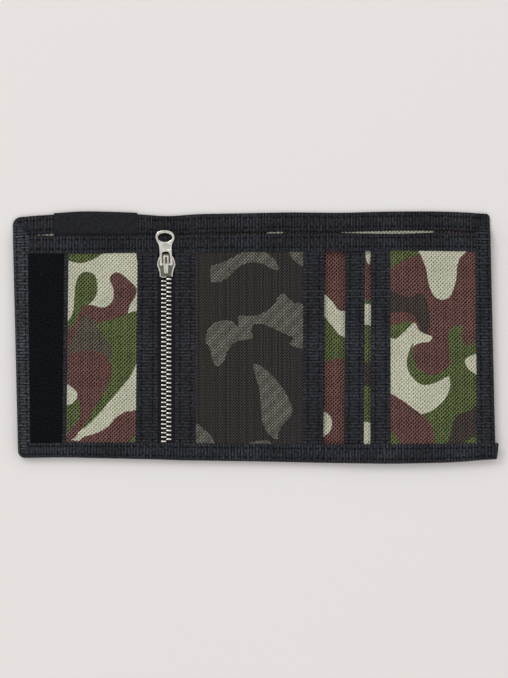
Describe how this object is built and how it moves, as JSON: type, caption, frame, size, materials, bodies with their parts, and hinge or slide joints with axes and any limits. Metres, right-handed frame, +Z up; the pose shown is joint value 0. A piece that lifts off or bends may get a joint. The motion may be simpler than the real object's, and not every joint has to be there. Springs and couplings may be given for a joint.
{
  "type": "trifold wallet",
  "caption": "Cloth trifold wallet with a coin pocket closed by a metal zip, a mesh window, card pockets, a banknote compartment and a hook-and-loop closure.",
  "frame": {"origin": "under the centre of the open wallet, on the surface that its outer face lies on", "axes": "+X along the open width, towards the card pockets; +Y towards the mouth of the banknote compartment; +Z up, out of the inner face"},
  "size_m": [0.243, 0.125, 0.0074],
  "materials": {
    "printed_cloth": "woven polyester with a printed four-colour camouflage",
    "pocket_cloth": "thin plain-woven polyester",
    "binding_tape": "ribbed nylon tape, dull sheen",
    "zip_tape": "herringbone woven zip tape",
    "window_mesh": "open black net, about 1 mm mesh",
    "label_satin": "plain satin ribbon",
    "loop_pile": "matt loop pile of a hook-and-loop fastener",
    "hook_nylon": "moulded nylon hooks",
    "nickel": "polished nickel plate"
  },
  "bodies": {
    "middle": {"shell_middle": "printed_cloth", "lining_middle": "printed_cloth", "mesh_window": "window_mesh", "zip_edge_tape_right": "binding_tape", "zip_tape_wing_right": "zip_tape", "window_edge_tape": "binding_tape", "binding_top_middle": "binding_tape", "binding_inner_top_middle": "binding_tape", "binding_bottom_middle": "binding_tape"},
    "spine": {"shell_spine": "printed_cloth", "coin_pocket_back_spine": "pocket_cloth", "zip_tape_left": "zip_tape", "zip_tape_right": "zip_tape", "zip_teeth_left": "nickel", "zip_teeth_right": "nickel", "binding_top_spine": "binding_tape", "binding_inner_top_spine": "binding_tape", "binding_bottom_spine": "binding_tape"},
    "left_flap": {"shell_left": "printed_cloth", "coin_pocket_back_left": "pocket_cloth", "coin_pocket_front": "printed_cloth", "loop_strip": "loop_pile", "binding_left": "binding_tape", "binding_top_left": "binding_tape", "binding_inner_top_left": "binding_tape", "binding_bottom_left": "binding_tape", "zip_edge_tape_left": "binding_tape", "zip_tape_wing_left": "zip_tape", "label_tab": "label_satin"},
    "right_flap": {"shell_right": "printed_cloth", "lining_right": "printed_cloth", "card_pocket_rear": "printed_cloth", "rear_pocket_edge_tape": "binding_tape", "card_pocket_front": "printed_cloth", "front_pocket_edge_tape": "binding_tape", "hook_strip": "hook_nylon", "binding_right": "binding_tape", "binding_top_right": "binding_tape", "binding_inner_top_right": "binding_tape", "binding_bottom_right": "binding_tape"},
    "slider": {"slider_body": "nickel", "slider_bridge": "nickel"},
    "puller": {"pull_tab": "nickel"}
  },
  "joints": [
    {"name": "left_fold", "type": "hinge", "parent": "spine", "child": "left_flap", "pos_m": [-0.0494, 0, 0.00535], "axis": [0, 1, 0], "range_deg": [0, 90]},
    {"name": "spine_fold", "type": "hinge", "parent": "middle", "child": "spine", "pos_m": [-0.0398, 0, 0.00535], "axis": [0, 1, 0], "range_deg": [0, 90]},
    {"name": "right_fold", "type": "hinge", "parent": "middle", "child": "right_flap", "pos_m": [0.0434, 0, 0.00715], "axis": [0, -1, 0], "range_deg": [0, 180]},
    {"name": "slider_slide", "type": "slide", "parent": "spine", "child": "slider", "axis": [0, -1, 0], "range_m": [0, 0.08]},
    {"name": "puller_swing", "type": "hinge", "parent": "slider", "child": "puller", "pos_m": [-0.0446, 0.0372, 0.0061], "axis": [1, 0, 0], "range_deg": [0, 180]}
  ],
  "couplings": [
    {"joint": "left_fold", "follows": "spine_fold", "ratio": 1}
  ]
}
